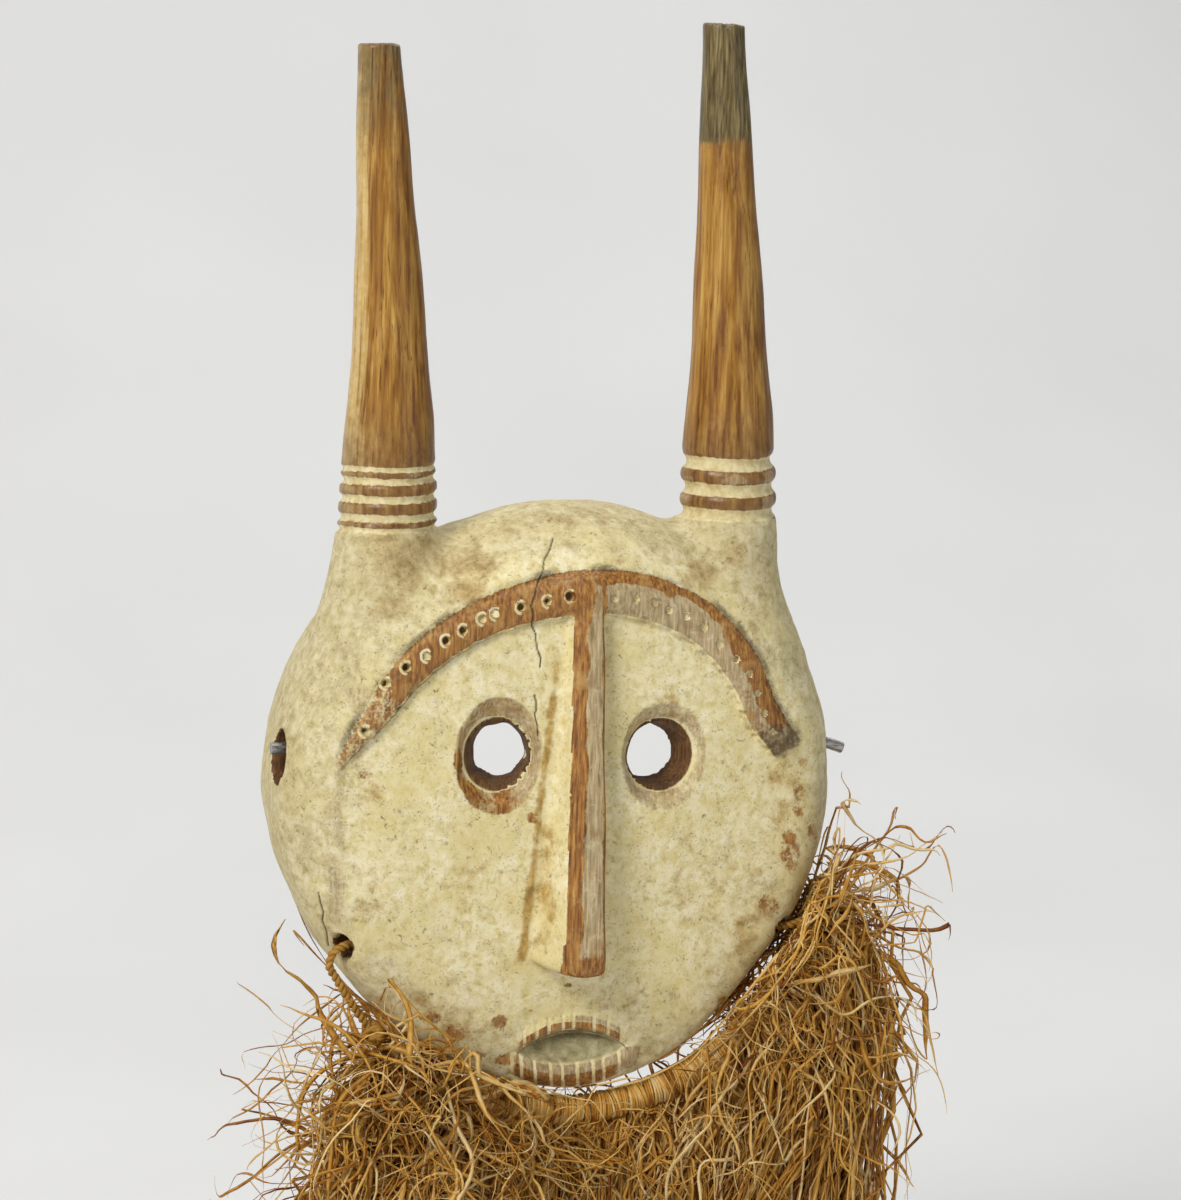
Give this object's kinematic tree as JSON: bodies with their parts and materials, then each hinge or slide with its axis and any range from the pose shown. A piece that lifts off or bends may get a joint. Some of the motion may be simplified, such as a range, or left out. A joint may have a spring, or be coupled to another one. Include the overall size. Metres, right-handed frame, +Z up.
{
  "type": "horned face mask",
  "caption": "Carved round face mask with tall ringed horns, drilled eyes, a long straight nose, a steel hanger bow and a raffia beard on a wrapped rope collar.",
  "frame": {"origin": "centre of the back-rim plane, in the middle of the wearer's face opening", "axes": "+Z up along the horns, -Y the way the face looks, +X to the right of somebody looking at the face"},
  "size_m": [0.246, 0.0955, 0.5886],
  "materials": {
    "carved_wood": "chalky cream kaolin over worn orange-brown wood, satin polish on the horns",
    "steel_rod": "scratched steel rod with cut ends",
    "raffia": "dry golden to red-brown raffia fibre",
    "raffia_binding": "flat raffia strip wound tight",
    "fibre_rope": "bundled plant fibre",
    "fibre_cord": "two-ply twisted plant-fibre cord"
  },
  "bodies": {
    "head": {"mask_body": "carved_wood", "left_stopper_knot": "fibre_cord", "right_stopper_knot": "fibre_cord"},
    "hanger": {"hanger_bow": "steel_rod"},
    "collar": {"collar_core": "fibre_rope", "collar_wrapping": "raffia_binding", "left_cord": "fibre_cord", "right_cord": "fibre_cord", "left_tie_knot": "fibre_cord", "right_tie_knot": "fibre_cord", "left_collar_binding": "raffia_binding", "right_collar_binding": "raffia_binding"},
    "raffia_hank_far_left": {"raffia_hank_far_left": "raffia"},
    "raffia_hank_left": {"raffia_hank_left": "raffia"},
    "raffia_hank_inner_left": {"raffia_hank_inner_left": "raffia"},
    "raffia_hank_centre_left": {"raffia_hank_centre_left": "raffia"},
    "raffia_hank_centre_right": {"raffia_hank_centre_right": "raffia"},
    "raffia_hank_inner_right": {"raffia_hank_inner_right": "raffia"},
    "raffia_hank_right": {"raffia_hank_right": "raffia"},
    "raffia_hank_far_right": {"raffia_hank_far_right": "raffia"},
    "raffia_tuft_right_end": {"raffia_tuft_right_end": "raffia"}
  },
  "joints": [
    {"name": "hanger_swing", "type": "hinge", "parent": "head", "child": "hanger", "pos_m": [-0.104, -0.05, 0.0114], "axis": [-0.9999, 0, 0.0115], "range_deg": [-3, 185]},
    {"name": "beard_swing", "type": "hinge", "parent": "head", "child": "collar", "pos_m": [0, -0.0665, -0.0625], "axis": [1, 0, 0], "range_deg": [-30, 12]},
    {"name": "hank_far_left_swing", "type": "hinge", "parent": "collar", "child": "raffia_hank_far_left", "pos_m": [-0.05746, -0.06, -0.11516], "axis": [0.8714, 0, -0.4906], "range_deg": [-15, 15]},
    {"name": "hank_left_swing", "type": "hinge", "parent": "collar", "child": "raffia_hank_left", "pos_m": [-0.03712, -0.06, -0.1239], "axis": [0.9443, 0, -0.3292], "range_deg": [-15, 15]},
    {"name": "hank_inner_left_swing", "type": "hinge", "parent": "collar", "child": "raffia_hank_inner_left", "pos_m": [-0.01588, -0.06, -0.13021], "axis": [0.9709, 0, -0.2396], "range_deg": [-15, 15]},
    {"name": "hank_centre_left_swing", "type": "hinge", "parent": "collar", "child": "raffia_hank_centre_left", "pos_m": [0.00601, -0.06, -0.13341], "axis": [0.9999, 0, -0.0154], "range_deg": [-15, 15]},
    {"name": "hank_centre_right_swing", "type": "hinge", "parent": "collar", "child": "raffia_hank_centre_right", "pos_m": [0.02797, -0.06, -0.13076], "axis": [0.973, 0, 0.2306], "range_deg": [-15, 15]},
    {"name": "hank_inner_right_swing", "type": "hinge", "parent": "collar", "child": "raffia_hank_inner_right", "pos_m": [0.04902, -0.06, -0.12388], "axis": [0.9176, 0, 0.3976], "range_deg": [-15, 15]},
    {"name": "hank_right_swing", "type": "hinge", "parent": "collar", "child": "raffia_hank_right", "pos_m": [0.06717, -0.06, -0.11322], "axis": [0.7891, 0, 0.6143], "range_deg": [-15, 15]},
    {"name": "hank_far_right_swing", "type": "hinge", "parent": "collar", "child": "raffia_hank_far_right", "pos_m": [0.08204, -0.06, -0.09831], "axis": [0.6152, 0, 0.7884], "range_deg": [-15, 15]},
    {"name": "tuft_right_end_swing", "type": "hinge", "parent": "collar", "child": "raffia_tuft_right_end", "pos_m": [0.09438, -0.06, -0.07866], "axis": [0.4616, 0, 0.8871], "range_deg": [-15, 15]}
  ]
}
